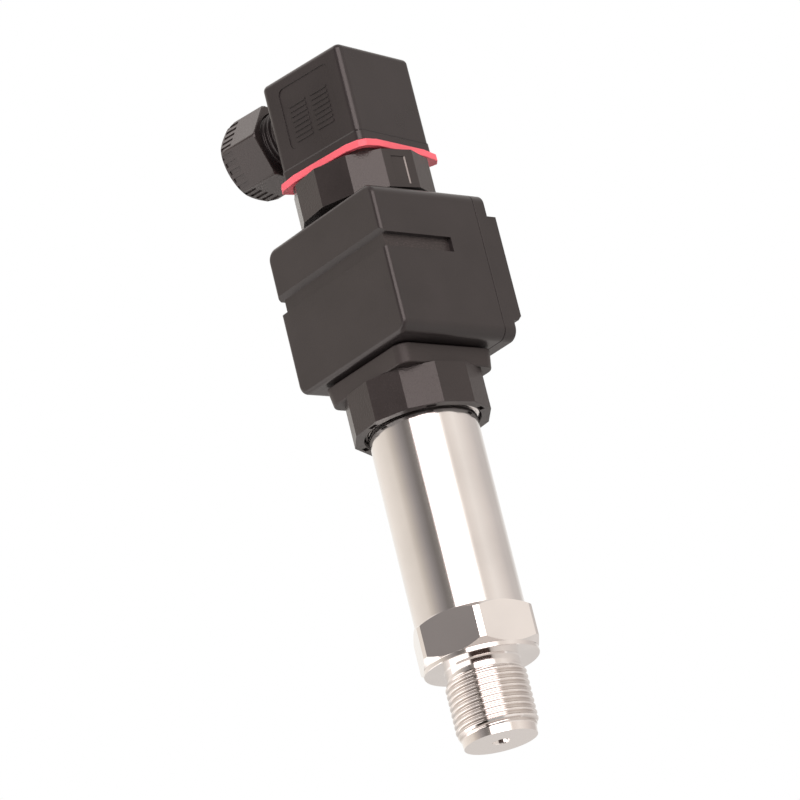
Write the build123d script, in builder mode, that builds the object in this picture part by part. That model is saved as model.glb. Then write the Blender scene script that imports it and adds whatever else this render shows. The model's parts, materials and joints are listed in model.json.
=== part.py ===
# Pressure transmitter with a plug-on display between its body and its cable connector
from build123d import *
import os

os.makedirs("parts", exist_ok=True)

# Clearances between pieces that seat in one another and pieces that move on one another
slip = 0.1
running_gap = 0.3

# Process fitting, from the mouth of the pressure port upwards
port_radius = 2.0
end_radius = 8.9
lead_length = 3.6
thread_radius = 10.0
thread_length = 12.1
runout_length = 0.9
relief_radius = 9.1
relief_length = 3.5
collar_radius = 14.15
collar_height = 1.2
hex_across_flats = 28.0
hex_corner_radius = 15.75
hex_height = 10.4
hex_chamfer_rise = 1.3
hex_turn = 22.7
spigot_height = 7.2
cavity_floor_above_hex_base = 1.1

# Sensor cell, diaphragm, seal and retaining ring
cell_radius = 9.5
cell_height = 11.9
cell_recess_depth = 0.6
cell_recess_radius = 8.9
oil_pocket_radius = 8.2
oil_pocket_depth = 0.4
diaphragm_thickness = 0.2
diaphragm_rim_width = 0.7
diaphragm_waves = 2
diaphragm_wave_height = 0.25
pressure_gap = 0.6
groove_height = 2.4
groove_depth = 1.6
groove_above_cell_front = 3.0
seal_ring_height = 1.6
ring_outer_radius = 10.7
ring_inner_radius = 6.5
ring_height = 3.2
ring_slot_width = 2.0
ring_slot_depth = 1.2
pin_width = 0.8
pin_ring_radius = 4.5
pin_count = 6
pin_length = 5.5

# Housing tube
tube_radius = 13.5
tube_wall = 1.0
tube_length = 57.2
tube_thread_radius = 14.2
tube_thread_length = 5.0
tube_insertion = 7.6

# Flexible print that joins the pins of the cell to the board
flex_radius = 5.6
flex_thickness = 0.3
flex_strip_width = 5.0
flex_strip_length = 9.0

# Leads inside the tube and the display box
lead_width = 1.2
lead_solder_drop = 5.5

# Amplifier board in the tube
holder_height = 4.0
holder_bore_radius = 6.0
board_width = 20.5
board_thickness = 1.6
board_slot_depth = 2.5
board_top_gap = 5.5
board_rib_length = 10.0
board_rib_thickness = 1.2
board_rib_height = 9.0
screw_boss_radius = 3.2
screw_boss_height = 3.4

# Twelve-sided plug bases
base_across_flats = 33.4
base_sides = 12
base_turn = 8.0
lower_base_height = 10.6
base_roof = 1.8
base_bore_radius = 14.6
base_entry_depth = 2.6
notch_count = 6
notch_start = 28.0
notch_width = 1.8
notch_length = 0.8
notch_inset = 0.4
notch_depth = 0.9
upper_base_gap = 2.5
upper_base_height = 9.5
platform_half_width = 13.0
platform_height = 0.9
neck_radius = 12.0
neck_below_roof = 5.5
lock_nut_radius = 13.8
lock_nut_height = 3.0
lock_nut_notches = 6
mark_width = 4.1
mark_height = 7.4
mark_depth = 0.25

# Contact blades of both plug bases
blade_ring_radius = 7.6
blade_width = 6.3
blade_thickness = 0.8
blade_reach = 11.0
blade_tail = 4.5
blade_count = 4
blade_tip_chamfer = 0.3

# Seals between the plugs
seal_half_width = 15.4
seal_lower_half_width = 14.9
seal_lip_half_width = 14.2
seal_lip_height = 0.6
seal_corner_radius = 3.5
seal_thickness = 5.5
gasket_half_width = 14.6
gasket_corner_cut = 1.5
gasket_thickness = 1.9

# Socket insert under the display
socket_half_width = 10.5
socket_corner_radius = 1.5
socket_height = 17.0
socket_flange_half_width = 12.5
socket_flange_height = 2.0
socket_slot_width = 1.8
socket_slot_length = 6.7
socket_roof = 2.0
tower_radius = 3.2
screw_channel_radius = 1.8
leaf_thickness = 0.3
contact_tail_length = 4.0
contact_tail_width = 1.6

# Display box
box_half_width = 20.8
box_height = 39.1
box_back = 17.65
box_seam = -16.6
box_wall = 2.4
box_corner_radius = 3.0
box_back_radius = 1.2
groove_middle = 23.9
box_groove_height = 3.9
box_groove_depth = 1.3
box_groove_slope = 1.1
side_groove_end = -4.5
boss_radius = 1.6
boss_pilot_radius = 0.7
boss_pilot_depth = 6.0
boss_wall_gap = 1.0

# Front lid, window and keys
lid_band_depth = 2.0
lid_wall = 1.8
lip_depth = 2.0
lip_thickness = 0.8
plate_depth = 2.8
plate_height = 27.9
plate_below_middle = 0.8
plate_chamfer = 1.2
window_width = 33.0
window_above_keys = 5.05
window_below_plate_top = 3.95
window_flange = 1.4
window_flange_thickness = 1.2
window_recess = 0.2
key_radius = 2.0
key_hole_clearance = 0.3
key_flange_radius = 2.7
key_flange_thickness = 0.8
key_stem_radius = 1.2
key_proud = 0.7
key_spacing = 10.0
key_above_plate_bottom = 4.9
key_travel = 0.5

# Display board and what it carries
display_board_gap = 0.5
display_board_front = -14.5
board_notch_width = 13.0
digit_module_width = 30.0
digit_module_height = 13.0
digit_module_depth = 3.4
key_switch_size = 6.0
key_switch_depth = 2.2
key_plunger_radius = 1.6
key_plunger_height = 0.6
processor_size = 8.0
processor_thickness = 1.2
screw_head_radius = 1.5
screw_head_height = 1.2
screw_shank_radius = 0.65
screw_shank_length = 5.0

# Cable connector
connector_turn = 8.16
connector_half_width = 13.4
connector_height = 26.4
connector_wall = 1.8
connector_roof = 2.2
connector_corner_radius = 1.8
connector_top_radius = 1.5
skirt_height = 2.7
skirt_step = 0.15
panel_width = 17.2
panel_height = 16.6
panel_depth = 0.25
panel_below_top = 11.7
panel_offset = 0.3
panel_blank_height = 3.6
panel_rib_count = 8
panel_rib_spacing = 1.34
panel_rib_length = 5.4
panel_rib_width = 0.7
panel_rib_column_spacing = 7.2
terminal_block_half_width = 10.9
terminal_block_height = 11.5
clamp_width = 5.6
clamp_depth = 4.4
clamp_height = 4.4
wire_hole_radius = 1.1
clamp_screw_head_radius = 1.9
clamp_screw_head_height = 1.4
counterbore_radius = 3.4
counterbore_depth = 3.8
counterbore_wall = 1.6

# Fixing screw through the connector, the display and both plug bases
fixing_screw_radius = 1.5
fixing_head_radius = 3.0
fixing_head_height = 2.6
fixing_slot_width = 0.8
fixing_slot_depth = 1.0
fixing_thread_engagement = 4.6
screw_seal_thickness = 0.8

# Cable gland, along its own axis from the middle of the connector
gland_height_in_connector = 16.6
stub_radius = 8.3
stub_bore_radius = 6.5
stub_end = 27.0
grommet_radius = 6.2
grommet_bore_radius = 3.5
grommet_start = 15.5
grommet_shoulder = 1.5
grommet_cone = 2.0
washer_radius = 6.9
washer_bore_radius = 4.3
washer_thickness = 1.4
nut_across_flats = 19.4
nut_corner_angle = 4.6
nut_start = 20.7
nut_length = 13.3
nut_face_chamfer = 0.6
nut_shoulder_radius = 10.5
nut_end_radius = 8.6
nut_dome_length = 3.6
nut_edge_length = 1.2
nut_bore_radius = 4.7
nut_roof = 2.4
ribs_per_flat = 5
rib_spacing = 2.1
rib_width = 1.05
rib_depth = 0.4
rib_length = 3.6
rib_end_gap = 1.3

# Levels along the axis
thread_start = lead_length
thread_end = thread_start + thread_length
seal_face = thread_end + relief_length
hex_base = seal_face + collar_height
hex_top = hex_base + hex_height
spigot_top = hex_top + spigot_height
cavity_floor = hex_base + cavity_floor_above_hex_base
cell_front = cavity_floor + pressure_gap
cell_top = cell_front + cell_height
tube_top = hex_top + tube_length
lower_base_bottom = tube_top - tube_insertion
lower_base_top = lower_base_bottom + lower_base_height
box_bottom = lower_base_top + seal_thickness
box_top = box_bottom + box_height
box_middle = (box_bottom + box_top) / 2
upper_base_bottom = box_top + upper_base_gap
upper_base_top = upper_base_bottom + upper_base_height
platform_top = upper_base_top + platform_height
connector_bottom = platform_top + gasket_thickness
connector_top = connector_bottom + connector_height
skirt_top = connector_bottom + skirt_height

# Sizes that several pieces share
tube_bore_radius = tube_radius - tube_wall
cell_cavity_radius = cell_radius + slip
base_apothem = base_across_flats / 2
front_of_lid = box_seam - lid_band_depth - plate_depth
inner_half_width = box_half_width - box_wall
inner_half_height = box_height / 2 - box_wall
board_back = display_board_front + board_thickness
display_board_width = 2 * (inner_half_width - display_board_gap)
display_board_height = 2 * (inner_half_height - display_board_gap)

# Planes of the turned connector and of the gland's axis
connector_plane = Plane.XY.rotated((0, 0, connector_turn))
entry_direction = Vector(1, 0, 0).rotate(Axis.Z, connector_turn)
side_direction = Vector(0, 1, 0).rotate(Axis.Z, connector_turn)
gland_centre = Vector(0, 0, connector_bottom + gland_height_in_connector)
gland_plane = Plane(origin=gland_centre, x_dir=side_direction, z_dir=entry_direction)
gland_section = Plane(origin=gland_centre, x_dir=entry_direction, z_dir=side_direction * -1)
gland_axis = Axis(gland_centre, entry_direction)


# Process fitting: thread, sealing collar, hexagon and the cavity of the sensor in one turned piece
cavity_top = cell_top - slip
ring_thread_radius = ring_outer_radius + slip
with BuildPart() as process_fitting:
    with BuildSketch(Plane.XZ):
        with BuildLine():
            Polyline(
                (port_radius, 0),
                (end_radius, 0),
                (thread_radius, thread_start),
                (thread_radius, thread_end),
                (relief_radius, thread_end + runout_length),
                (relief_radius, seal_face),
                (collar_radius, seal_face),
                (collar_radius, hex_base),
                (hex_corner_radius, hex_base + hex_chamfer_rise),
                (hex_corner_radius, hex_top - hex_chamfer_rise),
                (hex_across_flats / 2, hex_top),
                (tube_bore_radius - slip, hex_top),
                (tube_bore_radius - slip, spigot_top),
                (ring_thread_radius, spigot_top),
                (ring_thread_radius, cavity_top),
                (cell_cavity_radius, cavity_top),
                (cell_cavity_radius, cavity_floor),
                (port_radius, cavity_floor),
                close=True,
            )
        make_face()
    revolve(axis=Axis.Z)
    with BuildSketch(Plane.XY.offset(hex_base)):
        Circle(hex_corner_radius + hex_chamfer_rise)
        RegularPolygon(
            hex_across_flats / 2, 6, major_radius=False, rotation=hex_turn, mode=Mode.SUBTRACT
        )
    extrude(amount=hex_height, mode=Mode.SUBTRACT)
process_fitting.part.label = "process_fitting"
export_step(process_fitting.part, "parts/process_fitting.step")

# Sensor cell with the groove of its seal and the recess of its diaphragm
groove_bottom = cell_front + groove_above_cell_front
with BuildPart() as sensor_cell:
    with BuildSketch(Plane.XY.offset(cell_front)):
        Circle(cell_radius)
    extrude(amount=cell_height)
    with BuildSketch(Plane.XY.offset(groove_bottom)):
        Circle(cell_radius)
        Circle(cell_radius - groove_depth, mode=Mode.SUBTRACT)
    extrude(amount=groove_height, mode=Mode.SUBTRACT)
    with BuildSketch(Plane.XY.offset(cell_front)):
        Circle(cell_recess_radius)
    extrude(amount=cell_recess_depth, mode=Mode.SUBTRACT)
    with BuildSketch(Plane.XY.offset(cell_front + cell_recess_depth)):
        Circle(oil_pocket_radius)
    extrude(amount=oil_pocket_depth, mode=Mode.SUBTRACT)
sensor_cell.part.label = "sensor_cell"
export_step(sensor_cell.part, "parts/sensor_cell.step")

# Corrugated diaphragm under the oil pocket
diaphragm_radius = cell_recess_radius - slip
diaphragm_top = cell_front + cell_recess_depth
wave_length = (diaphragm_radius - diaphragm_rim_width) / diaphragm_waves
with BuildPart() as sensor_diaphragm:
    with BuildSketch(Plane.XZ):
        with BuildLine():
            for level in (diaphragm_top, diaphragm_top - diaphragm_thickness):
                for wave in range(diaphragm_waves):
                    left = wave * wave_length
                    Line((left, level), (left + wave_length / 2, level - diaphragm_wave_height))
                    Line(
                        (left + wave_length / 2, level - diaphragm_wave_height),
                        (left + wave_length, level),
                    )
                Line((diaphragm_waves * wave_length, level), (diaphragm_radius, level))
            Line((0, diaphragm_top), (0, diaphragm_top - diaphragm_thickness))
            Line(
                (diaphragm_radius, diaphragm_top),
                (diaphragm_radius, diaphragm_top - diaphragm_thickness),
            )
        make_face()
    revolve(axis=Axis.Z)
sensor_diaphragm.part.label = "sensor_diaphragm"
export_step(sensor_diaphragm.part, "parts/sensor_diaphragm.step")

# Square-section seal ring in the groove of the cell
with BuildPart() as sensor_seal:
    with BuildSketch(Plane.XY.offset(groove_bottom + (groove_height - seal_ring_height) / 2)):
        Circle(cell_radius)
        Circle(cell_radius - groove_depth, mode=Mode.SUBTRACT)
    extrude(amount=seal_ring_height)
sensor_seal.part.label = "sensor_seal"
export_step(sensor_seal.part, "parts/sensor_seal.step")

# Threaded ring that holds the cell down, with two slots for its key
with BuildPart() as sensor_retaining_ring:
    with BuildSketch(Plane.XY.offset(cell_top)):
        Circle(ring_outer_radius)
        Circle(ring_inner_radius, mode=Mode.SUBTRACT)
    extrude(amount=ring_height)
    with BuildSketch(Plane.XY.offset(cell_top + ring_height)):
        Rectangle(2 * ring_outer_radius, ring_slot_width)
    extrude(amount=-ring_slot_depth, mode=Mode.SUBTRACT)
sensor_retaining_ring.part.label = "sensor_retaining_ring"
export_step(sensor_retaining_ring.part, "parts/sensor_retaining_ring.step")

# Square header pins on the cell
with BuildPart() as sensor_pins:
    with BuildSketch(Plane.XY.offset(cell_top)):
        with PolarLocations(pin_ring_radius, pin_count):
            Rectangle(pin_width, pin_width)
    extrude(amount=pin_length)
sensor_pins.part.label = "sensor_pins"
export_step(sensor_pins.part, "parts/sensor_pins.step")

# Housing tube with the thread of the plug base at its upper end
with BuildPart() as housing_tube:
    with BuildSketch(Plane.XY.offset(hex_top)):
        Circle(tube_radius)
    extrude(amount=tube_length)
    with BuildSketch(Plane.XY.offset(tube_top - tube_thread_length)):
        Circle(tube_thread_radius)
    extrude(amount=tube_thread_length)
    chamfer(housing_tube.edges().group_by(Axis.Z)[-1], (tube_thread_radius - tube_radius) / 2)
    with BuildSketch(Plane.XY.offset(hex_top)):
        Circle(tube_bore_radius)
    extrude(amount=tube_length, mode=Mode.SUBTRACT)
housing_tube.part.label = "housing_tube"
export_step(housing_tube.part, "parts/housing_tube.step")

# Holder of the amplifier board, seated on the spigot of the fitting
holder_top = spigot_top + holder_height
board_bottom = holder_top - board_slot_depth
with BuildPart() as board_holder:
    with BuildSketch(Plane.XY.offset(spigot_top)):
        Circle(tube_bore_radius - slip)
        Circle(holder_bore_radius, mode=Mode.SUBTRACT)
    extrude(amount=holder_height)
    with BuildSketch(Plane.XY.offset(board_bottom)):
        Rectangle(board_width + 2 * slip, board_thickness + 2 * slip)
    extrude(amount=board_slot_depth, mode=Mode.SUBTRACT)
board_holder.part.label = "board_holder"
export_step(board_holder.part, "parts/board_holder.step")

# Amplifier board, standing between the holder and the ribs of the lower plug base
base_ceiling = lower_base_top - base_roof
board_top = base_ceiling - board_top_gap
board_height = board_top - board_bottom
board_middle = (board_top + board_bottom) / 2
with BuildPart() as amplifier_board:
    with BuildSketch(Plane.XZ.offset(-board_thickness / 2)):
        with Locations((0, board_middle)):
            Rectangle(board_width, board_height)
    extrude(amount=board_thickness)
amplifier_board.part.label = "amplifier_board"
export_step(amplifier_board.part, "parts/amplifier_board.step")

# Flexible print: disc on the pins and a strip up the back of the board
flex_bottom = spigot_top + slip
with BuildPart() as sensor_flex:
    with BuildSketch(Plane.XY.offset(flex_bottom)):
        Circle(flex_radius)
        with PolarLocations(pin_ring_radius, pin_count):
            Rectangle(pin_width + 2 * slip, pin_width + 2 * slip, mode=Mode.SUBTRACT)
    extrude(amount=flex_thickness)
    with BuildSketch(Plane.XZ.offset(-board_thickness / 2)):
        with Locations((0, flex_bottom + flex_strip_length / 2)):
            Rectangle(flex_strip_width, flex_strip_length)
    extrude(amount=-flex_thickness)
sensor_flex.part.label = "sensor_flex"
export_step(sensor_flex.part, "parts/sensor_flex.step")

# Amplifier chip, two capacitors and two trimmers on the board
chip_size = board_width / 2.5
capacitor_radius = board_width / 8
trimmer_size = board_width / 5
with BuildPart() as board_parts:
    with BuildSketch(Plane.XZ.offset(board_thickness / 2)):
        with Locations((0, board_middle)):
            Rectangle(chip_size, chip_size)
        with Locations((0, board_middle + board_height / 4)):
            with GridLocations(board_width / 2, 0, 2, 1):
                Rectangle(trimmer_size, trimmer_size)
    extrude(amount=board_thickness)
    with BuildSketch(Plane.XZ.offset(-board_thickness / 2)):
        with Locations((0, board_middle - board_height / 6)):
            with GridLocations(board_width / 2, 0, 2, 1):
                Circle(capacitor_radius)
    extrude(amount=-2 * capacitor_radius)
board_parts.part.label = "board_parts"
export_step(board_parts.part, "parts/board_parts.step")

# Flat seal between the end of the tube and the roof of the lower plug base
with BuildPart() as tube_seal:
    with BuildSketch(Plane.XY.offset(tube_top)):
        Circle(tube_thread_radius - slip)
        Circle(tube_bore_radius + slip, mode=Mode.SUBTRACT)
    extrude(amount=base_ceiling - tube_top)
tube_seal.part.label = "tube_seal"
export_step(tube_seal.part, "parts/tube_seal.step")

# Lower plug base: twelve-sided cap with its bore, small rim recesses, board ribs and blade slots
notch_ring_radius = base_bore_radius + notch_inset + notch_length / 2
with BuildPart() as lower_plug_base:
    with BuildSketch(Plane.XY.offset(lower_base_bottom)):
        RegularPolygon(base_apothem, base_sides, major_radius=False, rotation=base_turn)
    extrude(amount=lower_base_height)
    with BuildSketch(Plane.XY.offset(lower_base_bottom)):
        Circle(tube_thread_radius + slip)
    extrude(amount=lower_base_height - base_roof, mode=Mode.SUBTRACT)
    with BuildSketch(Plane.XY.offset(lower_base_bottom)):
        with PolarLocations(notch_ring_radius, notch_count, start_angle=notch_start):
            Rectangle(notch_length, notch_width)
    extrude(amount=notch_depth, mode=Mode.SUBTRACT)
    with BuildSketch(Plane.XY.offset(lower_base_bottom)):
        Circle(base_bore_radius)
    extrude(amount=base_entry_depth, mode=Mode.SUBTRACT)
    with BuildSketch(Plane.XY.offset(base_ceiling)):
        with GridLocations(0, board_thickness + board_rib_thickness + 2 * slip, 1, 2):
            Rectangle(board_rib_length, board_rib_thickness)
    extrude(amount=-board_rib_height)
    with BuildSketch(Plane.XY.offset(base_ceiling)):
        Circle(screw_boss_radius)
    extrude(amount=-screw_boss_height)
    with BuildSketch(Plane.XY.offset(base_ceiling)):
        with PolarLocations(blade_ring_radius, blade_count):
            Rectangle(blade_thickness, blade_width)
    extrude(amount=base_roof, mode=Mode.SUBTRACT)
    with BuildSketch(Plane.XY.offset(base_ceiling - screw_boss_height)):
        Circle(fixing_screw_radius + slip)
    extrude(amount=screw_boss_height + base_roof, mode=Mode.SUBTRACT)
lower_plug_base.part.label = "lower_plug_base"
export_step(lower_plug_base.part, "parts/lower_plug_base.step")

# Contact blades of the lower plug base, three and the earth blade
lower_blade_bottom = base_ceiling - blade_tail
with BuildPart() as lower_contact_blades:
    with BuildSketch(Plane.XY.offset(lower_blade_bottom)):
        with PolarLocations(blade_ring_radius, blade_count):
            Rectangle(blade_thickness, blade_width)
    extrude(amount=blade_tail + base_roof + blade_reach)
    chamfer(lower_contact_blades.edges().group_by(Axis.Z)[-1], blade_tip_chamfer)
lower_contact_blades.part.label = "lower_contact_blades"
export_step(lower_contact_blades.part, "parts/lower_contact_blades.step")

# Leads from the amplifier board to the tails of the blades: two bent ones, two straight ones
board_face = board_thickness / 2
solder_level = board_top - lead_solder_drop
lead_outer = blade_ring_radius + lead_width / 2
lead_inner = blade_ring_radius - lead_width / 2
with BuildPart() as plug_leads:
    for side in (-1, 1):
        with BuildSketch(Plane.YZ):
            with BuildLine():
                Polyline(
                    (side * board_face, solder_level),
                    (side * lead_outer, solder_level),
                    (side * lead_outer, lower_blade_bottom),
                    (side * lead_inner, lower_blade_bottom),
                    (side * lead_inner, solder_level + lead_width),
                    (side * board_face, solder_level + lead_width),
                    close=True,
                )
            make_face()
        extrude(amount=lead_width / 2, both=True)
    with BuildSketch(Plane.XY.offset(solder_level)):
        with Locations((0, board_face + lead_width / 2)):
            with GridLocations(2 * blade_ring_radius, 0, 2, 1):
                Rectangle(lead_width, lead_width)
    extrude(amount=lower_blade_bottom - solder_level)
plug_leads.part.label = "plug_leads"
export_step(plug_leads.part, "parts/plug_leads.step")

# Rubber flange seal between the lower plug base and the display box
socket_hole_half_width = socket_half_width + slip
with BuildPart() as flange_seal:
    with BuildSketch(Plane.XY.offset(lower_base_top)):
        RectangleRounded(2 * seal_lower_half_width, 2 * seal_lower_half_width, seal_corner_radius)
    with BuildSketch(Plane.XY.offset(box_bottom - seal_lip_height)):
        RectangleRounded(2 * seal_half_width, 2 * seal_half_width, seal_corner_radius)
    loft()
    with BuildSketch(Plane.XY.offset(box_bottom - seal_lip_height)):
        RectangleRounded(2 * seal_lip_half_width, 2 * seal_lip_half_width, seal_corner_radius)
    extrude(amount=seal_lip_height)
    with BuildSketch(Plane.XY.offset(lower_base_top)):
        RectangleRounded(2 * socket_hole_half_width, 2 * socket_hole_half_width, socket_corner_radius)
    extrude(amount=seal_thickness, mode=Mode.SUBTRACT)
flange_seal.part.label = "flange_seal"
export_step(flange_seal.part, "parts/flange_seal.step")

# Socket insert in the floor of the display box, with the tower that guides the fixing screw
socket_top = lower_base_top + socket_height
floor_top = box_bottom + box_wall
neck_bottom = box_top - neck_below_roof
with BuildPart() as socket_insert:
    with BuildSketch(Plane.XY.offset(lower_base_top)):
        RectangleRounded(2 * socket_half_width, 2 * socket_half_width, socket_corner_radius)
    extrude(amount=socket_height)
    with BuildSketch(Plane.XY.offset(floor_top)):
        RectangleRounded(
            2 * socket_flange_half_width, 2 * socket_flange_half_width, socket_corner_radius
        )
    extrude(amount=socket_flange_height)
    with BuildSketch(Plane.XY.offset(socket_top)):
        Circle(tower_radius)
    extrude(amount=neck_bottom - socket_top)
    with BuildSketch(Plane.XY.offset(lower_base_top)):
        with PolarLocations(blade_ring_radius, blade_count):
            Rectangle(socket_slot_width, socket_slot_length)
    extrude(amount=socket_height - socket_roof, mode=Mode.SUBTRACT)
    with BuildSketch(Plane.XY.offset(socket_top - socket_roof)):
        with PolarLocations(blade_ring_radius, blade_count):
            Rectangle(contact_tail_width + 2 * slip, contact_tail_width + 2 * slip)
    extrude(amount=socket_roof, mode=Mode.SUBTRACT)
    with BuildSketch(Plane.XY.offset(lower_base_top)):
        Circle(screw_channel_radius)
    extrude(amount=neck_bottom - lower_base_top, mode=Mode.SUBTRACT)
socket_insert.part.label = "socket_insert"
export_step(socket_insert.part, "parts/socket_insert.step")

# Spring contacts that grip the lower blades, with their tails through the insert
clip_opening = blade_thickness + slip
clip_top = socket_top - socket_roof
clip_bottom = lower_base_top + blade_reach / 3
with BuildPart() as socket_contacts:
    with BuildSketch(Plane.XY.offset(clip_bottom)):
        with PolarLocations(blade_ring_radius, blade_count):
            Rectangle(clip_opening + 2 * leaf_thickness, blade_width - slip)
    extrude(amount=clip_top - clip_bottom)
    with BuildSketch(Plane.XY.offset(clip_bottom)):
        with PolarLocations(blade_ring_radius, blade_count):
            Rectangle(clip_opening, blade_width)
    extrude(amount=clip_top - clip_bottom - leaf_thickness, mode=Mode.SUBTRACT)
    with BuildSketch(Plane.XY.offset(clip_top)):
        with PolarLocations(blade_ring_radius, blade_count):
            Rectangle(contact_tail_width, contact_tail_width)
    extrude(amount=socket_roof + contact_tail_length)
socket_contacts.part.label = "socket_contacts"
export_step(socket_contacts.part, "parts/socket_contacts.step")

# Display box: moulded shell, open at the front, with its groove, bosses and two plug openings
back_plane = Plane.XZ.offset(-box_back)
inner_back_plane = Plane.XZ.offset(box_wall - box_back)
groove_floor = box_bottom + groove_middle - box_groove_height / 2
groove_top = groove_floor + box_groove_height
boss_x = inner_half_width - boss_radius - boss_wall_gap
boss_z = inner_half_height - boss_radius - boss_wall_gap
with BuildPart() as display_box:
    with BuildSketch(back_plane):
        with Locations((0, box_middle)):
            RectangleRounded(2 * box_half_width, box_height, box_corner_radius)
    extrude(amount=box_back - box_seam)
    fillet(display_box.faces().sort_by(Axis.Y)[-1].edges(), box_back_radius)
    with BuildSketch(inner_back_plane):
        with Locations((0, box_middle)):
            RectangleRounded(2 * inner_half_width, 2 * inner_half_height, box_wall / 2)
    extrude(amount=box_back - box_wall - box_seam, mode=Mode.SUBTRACT)
    with BuildSketch(inner_back_plane):
        with Locations((0, box_middle)):
            with GridLocations(2 * boss_x, 2 * boss_z, 2, 2):
                Circle(boss_radius)
    extrude(amount=box_back - box_wall - board_back)
    with BuildSketch(Plane.XZ.offset(-board_back)):
        with Locations((0, box_middle)):
            with GridLocations(2 * boss_x, 2 * boss_z, 2, 2):
                Circle(boss_pilot_radius)
    extrude(amount=-boss_pilot_depth, mode=Mode.SUBTRACT)
    with BuildSketch(Plane.YZ):
        with BuildLine():
            Polyline(
                (box_back, groove_floor),
                (box_back - box_groove_depth, groove_floor),
                (box_back - box_groove_depth, groove_top),
                (box_back, groove_top + box_groove_slope),
                close=True,
            )
        make_face()
    extrude(amount=box_half_width, both=True, mode=Mode.SUBTRACT)
    with BuildSketch(Plane.XY.offset(groove_floor)):
        with Locations((0, (box_back + side_groove_end) / 2)):
            with GridLocations(2 * box_half_width, 0, 2, 1):
                Rectangle(2 * box_groove_depth, box_back - side_groove_end)
    extrude(amount=box_groove_height, mode=Mode.SUBTRACT)
    with BuildSketch(Plane.XY.offset(box_bottom)):
        RectangleRounded(2 * socket_hole_half_width, 2 * socket_hole_half_width, socket_corner_radius)
    extrude(amount=box_wall, mode=Mode.SUBTRACT)
    with BuildSketch(Plane.XY.offset(box_top)):
        Circle(neck_radius + slip)
    extrude(amount=-box_wall, mode=Mode.SUBTRACT)
display_box.part.label = "display_box"
export_step(display_box.part, "parts/display_box.step")

# Front lid: band that closes the box, raised plate with its window opening and key holes, and lip
plate_middle = box_middle - plate_below_middle
key_level = plate_middle - plate_height / 2 + key_above_plate_bottom
window_top = plate_middle + plate_height / 2 - window_below_plate_top
window_bottom = key_level + window_above_keys
window_height = window_top - window_bottom
window_middle = (window_top + window_bottom) / 2
seam_plane = Plane.XZ.offset(-box_seam)
band_front_plane = Plane.XZ.offset(lid_band_depth - box_seam)
lid_front_plane = Plane.XZ.offset(-front_of_lid)
lid_inner_plane = Plane.XZ.offset(-front_of_lid - lid_wall)
plate_cavity_height = plate_height - 2 * lid_wall
lip_half_width = inner_half_width - slip
lip_half_height = inner_half_height - slip
with BuildPart() as display_lid:
    with BuildSketch(seam_plane):
        with Locations((0, box_middle)):
            RectangleRounded(2 * box_half_width, box_height, box_corner_radius)
    extrude(amount=lid_band_depth)
    with BuildSketch(band_front_plane):
        with Locations((0, plate_middle)):
            Rectangle(2 * box_half_width, plate_height)
    extrude(amount=plate_depth)
    chamfer(display_lid.faces().sort_by(Axis.Y)[0].edges().filter_by(Axis.X).sort_by(Axis.Z)[0], plate_chamfer)
    with BuildSketch(seam_plane):
        with Locations((0, box_middle)):
            RectangleRounded(2 * lip_half_width, 2 * lip_half_height, box_wall / 2)
            Rectangle(
                2 * (lip_half_width - lip_thickness),
                2 * (lip_half_height - lip_thickness),
                mode=Mode.SUBTRACT,
            )
    extrude(amount=-lip_depth)
    with BuildSketch(lid_inner_plane):
        with Locations((0, plate_middle)):
            RectangleRounded(2 * inner_half_width, plate_cavity_height, box_wall / 2)
    extrude(amount=front_of_lid + lid_wall - box_seam, mode=Mode.SUBTRACT)
    with BuildSketch(lid_front_plane):
        with Locations((0, window_middle)):
            Rectangle(window_width, window_height)
        with Locations((0, key_level)):
            with GridLocations(key_spacing, 0, 3, 1):
                Circle(key_radius + key_hole_clearance)
    extrude(amount=-lid_wall, mode=Mode.SUBTRACT)
display_lid.part.label = "display_lid"
export_step(display_lid.part, "parts/display_lid.step")

# Window pane, its flange behind the lid and its face in the opening
with BuildPart() as display_window:
    with BuildSketch(lid_inner_plane):
        with Locations((0, window_middle)):
            Rectangle(window_width + 2 * window_flange, window_height + 2 * window_flange)
    extrude(amount=-window_flange_thickness)
    with BuildSketch(lid_inner_plane):
        with Locations((0, window_middle)):
            Rectangle(window_width - 2 * slip, window_height - 2 * slip)
    extrude(amount=lid_wall - window_recess)
display_window.part.label = "display_window"
export_step(display_window.part, "parts/display_window.step")

# Setting keys: cap, flange behind the lid and stem towards its switch
switch_top = display_board_front - key_switch_depth
key_stem_end = switch_top - key_plunger_height - key_travel - running_gap
key_flange_front = front_of_lid + lid_wall + running_gap
for key_index, key_name in enumerate(("setting_key_left", "setting_key_middle", "setting_key_right")):
    key_x = (key_index - 1) * key_spacing
    with BuildPart() as setting_key:
        with BuildSketch(Plane.XZ.offset(key_proud - front_of_lid)):
            with Locations((key_x, key_level)):
                Circle(key_radius)
        extrude(amount=front_of_lid - key_proud - key_flange_front)
        with BuildSketch(Plane.XZ.offset(-key_flange_front)):
            with Locations((key_x, key_level)):
                Circle(key_flange_radius)
        extrude(amount=-key_flange_thickness)
        with BuildSketch(Plane.XZ.offset(-key_flange_front)):
            with Locations((key_x, key_level)):
                Circle(key_stem_radius)
        extrude(amount=key_flange_front - key_stem_end)
        chamfer(setting_key.faces().sort_by(Axis.Y)[0].edges(), key_proud / 2)
    setting_key.part.label = key_name
    export_step(setting_key.part, f"parts/{key_name}.step")

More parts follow.
